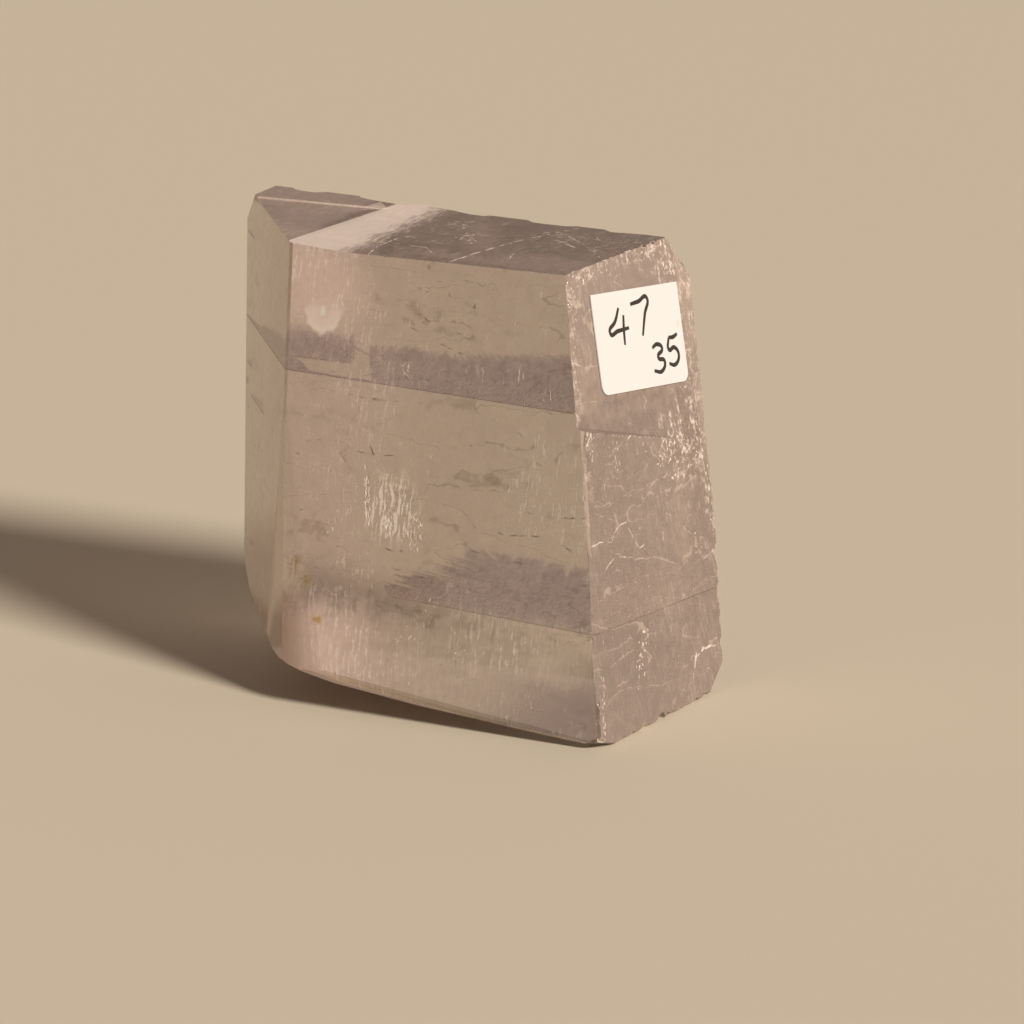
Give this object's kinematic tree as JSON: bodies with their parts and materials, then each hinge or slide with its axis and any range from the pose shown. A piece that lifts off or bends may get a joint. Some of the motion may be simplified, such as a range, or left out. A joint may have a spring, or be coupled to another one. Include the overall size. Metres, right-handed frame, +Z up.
{
  "type": "calcite cleavage specimen",
  "caption": "See-through lilac calcite cleavage block with a truncated corner, a rounded lower end and a small paper label, standing on a flat base.",
  "frame": {"origin": "middle of the bounding box's base, at the height of the cleavage face that the block stands on", "axes": "+Z up, +X along the front cleavage face from the truncated corner to the labelled side, -Y towards the front cleavage face"},
  "size_m": [0.0738, 0.0468, 0.0589],
  "materials": {
    "calcite": "see-through pale lilac mineral, glossy on fresh cleavage, finely frosted where worn",
    "label_paper": "matt off-white paper, handwritten in dark ink"
  },
  "bodies": {
    "root": {"crystal": "calcite", "label": "label_paper"}
  },
  "joints": []
}
